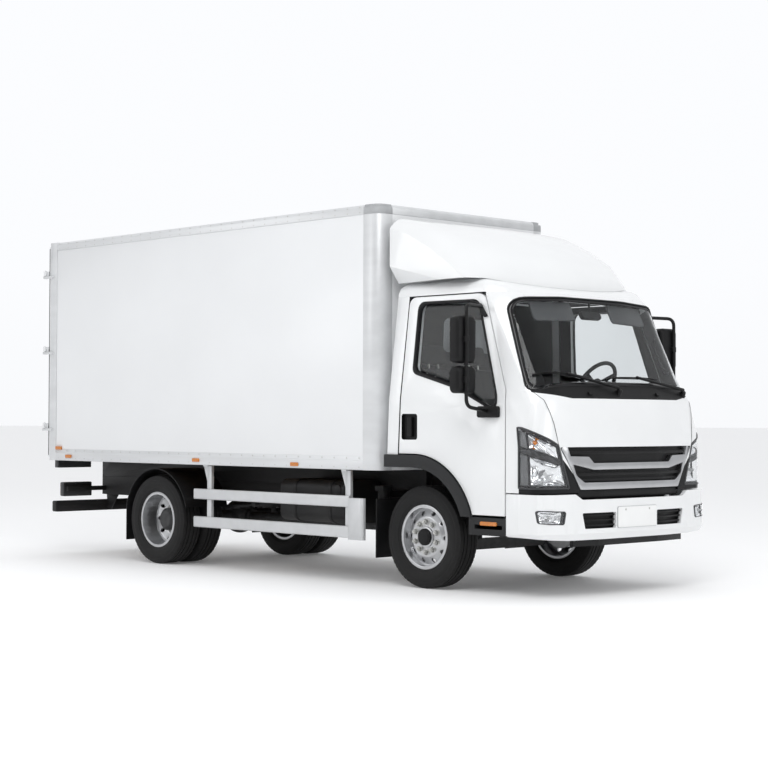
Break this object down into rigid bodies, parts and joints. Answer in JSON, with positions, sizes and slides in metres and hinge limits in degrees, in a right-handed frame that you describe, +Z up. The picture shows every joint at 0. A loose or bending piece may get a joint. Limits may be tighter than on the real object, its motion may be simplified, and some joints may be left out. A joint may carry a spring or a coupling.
{
  "type": "light box truck",
  "caption": "Light cab-over box truck: tilting cab with doors, steered front axle, twin rear wheels and a closed cargo box with rear doors.",
  "frame": {"origin": "middle of the outline on the ground under the tyres", "axes": "+X forward, +Y to the truck's left, +Z up"},
  "size_m": [6.102, 2.504, 2.85],
  "materials": {
    "paint": "gloss white paint",
    "alloy": "satin",
    "black_plastic": "grained",
    "chassis_black": "satin black",
    "cast": "plain",
    "red_lens": "clear",
    "amber_lens": "clear",
    "wood": "plain",
    "glass": "tinted",
    "bright": "satin chrome",
    "lamp": "clear",
    "trim": "grained",
    "tyre": "ribbed",
    "wheel": "silver paint"
  },
  "bodies": {
    "chassis": {"frame_rails": "chassis_black", "crossmembers": "chassis_black", "front_axle": "chassis_black", "rear_axle": "chassis_black", "leaf_springs": "chassis_black", "engine": "cast", "fuel_tank": "chassis_black", "battery_box": "chassis_black", "silencer": "alloy", "filter_can": "alloy", "side_guards": "alloy", "underrun_bar": "chassis_black", "tail_lamps": "red_lens", "mudguards": "black_plastic", "tow_eye": "chassis_black", "box_floor": "wood", "box_walls": "paint", "box_front_wall": "paint", "box_roof": "paint", "box_rails": "alloy", "box_posts": "alloy", "corner_caps": "black_plastic", "rear_frame": "alloy", "marker_lamps": "amber_lens"},
    "cab": {"cab_floor": "trim", "cab_back_wall": "paint", "cab_roof": "paint", "cab_pillars": "paint", "cab_front": "paint", "cab_glass": "glass", "cowl": "black_plastic", "grille": "black_plastic", "grille_frame": "bright", "front_lamps": "lamp", "bumper": "paint", "bumper_inserts": "black_plastic", "roof_deflector": "paint", "arch_flares": "black_plastic", "dashboard": "trim", "steering_wheel": "black_plastic", "seats": "trim"},
    "cab_door_left": {"door_left": "paint", "door_glass_left": "glass", "mirror_left": "black_plastic"},
    "cargo_door_left": {"rear_door_left": "paint"},
    "steered_hub_left": {"knuckle_left": "chassis_black"},
    "front_wheel_left": {"tyre_front_left": "tyre", "rim_front_left": "wheel"},
    "rear_wheels_left": {"tyres_rear_left": "tyre", "rims_rear_left": "wheel"},
    "cab_door_right": {"door_right": "paint", "door_glass_right": "glass", "mirror_right": "black_plastic"},
    "cargo_door_right": {"rear_door_right": "paint"},
    "steered_hub_right": {"knuckle_right": "chassis_black"},
    "front_wheel_right": {"tyre_front_right": "tyre", "rim_front_right": "wheel"},
    "rear_wheels_right": {"tyres_rear_right": "tyre", "rims_rear_right": "wheel"},
    "track_rod": {"tie_rod": "chassis_black"}
  },
  "joints": [
    {"name": "cab_tilt", "type": "hinge", "parent": "chassis", "child": "cab", "pos_m": [2.846, 0, 0.6], "axis": [0, 1, 0], "range_deg": [0, 45]},
    {"name": "cab_door_left_swing", "type": "hinge", "parent": "cab", "child": "cab_door_left", "pos_m": [2.625, 0.932, 1], "axis": [0, 0, -1], "range_deg": [0, 70]},
    {"name": "cab_door_right_swing", "type": "hinge", "parent": "cab", "child": "cab_door_right", "pos_m": [2.625, -0.932, 1], "axis": [0, 0, 1], "range_deg": [0, 70]},
    {"name": "cargo_door_left_swing", "type": "hinge", "parent": "chassis", "child": "cargo_door_left", "pos_m": [-3.035, 0.96, 1.85], "axis": [0, 0, -1], "range_deg": [0, 270]},
    {"name": "cargo_door_right_swing", "type": "hinge", "parent": "chassis", "child": "cargo_door_right", "pos_m": [-3.035, -0.96, 1.85], "axis": [0, 0, 1], "range_deg": [0, 270]},
    {"name": "steer_left", "type": "hinge", "parent": "chassis", "child": "steered_hub_left", "pos_m": [1.746, 0.63, 0.376], "axis": [0, 0, 1], "range_deg": [-38, 38]},
    {"name": "steer_right", "type": "hinge", "parent": "chassis", "child": "steered_hub_right", "pos_m": [1.746, -0.63, 0.376], "axis": [0, 0, 1], "range_deg": [-38, 38]},
    {"name": "track_rod_swing", "type": "hinge", "parent": "steered_hub_left", "child": "track_rod", "pos_m": [1.576, 0.63, 0.274], "axis": [0, 0, 1], "range_deg": [-38, 38]},
    {"name": "front_left_spin", "type": "hinge", "parent": "steered_hub_left", "child": "front_wheel_left", "pos_m": [1.746, 0.745, 0.376], "axis": [0, 1, 0], "continuous": true},
    {"name": "front_right_spin", "type": "hinge", "parent": "steered_hub_right", "child": "front_wheel_right", "pos_m": [1.746, -0.745, 0.376], "axis": [0, 1, 0], "continuous": true},
    {"name": "rear_left_spin", "type": "hinge", "parent": "chassis", "child": "rear_wheels_left", "pos_m": [-1.364, 0.712, 0.376], "axis": [0, 1, 0], "continuous": true},
    {"name": "rear_right_spin", "type": "hinge", "parent": "chassis", "child": "rear_wheels_right", "pos_m": [-1.364, -0.712, 0.376], "axis": [0, 1, 0], "continuous": true}
  ],
  "couplings": [
    {"joint": "steer_right", "follows": "steer_left", "ratio": 1},
    {"joint": "track_rod_swing", "follows": "steer_left", "ratio": -1}
  ]
}
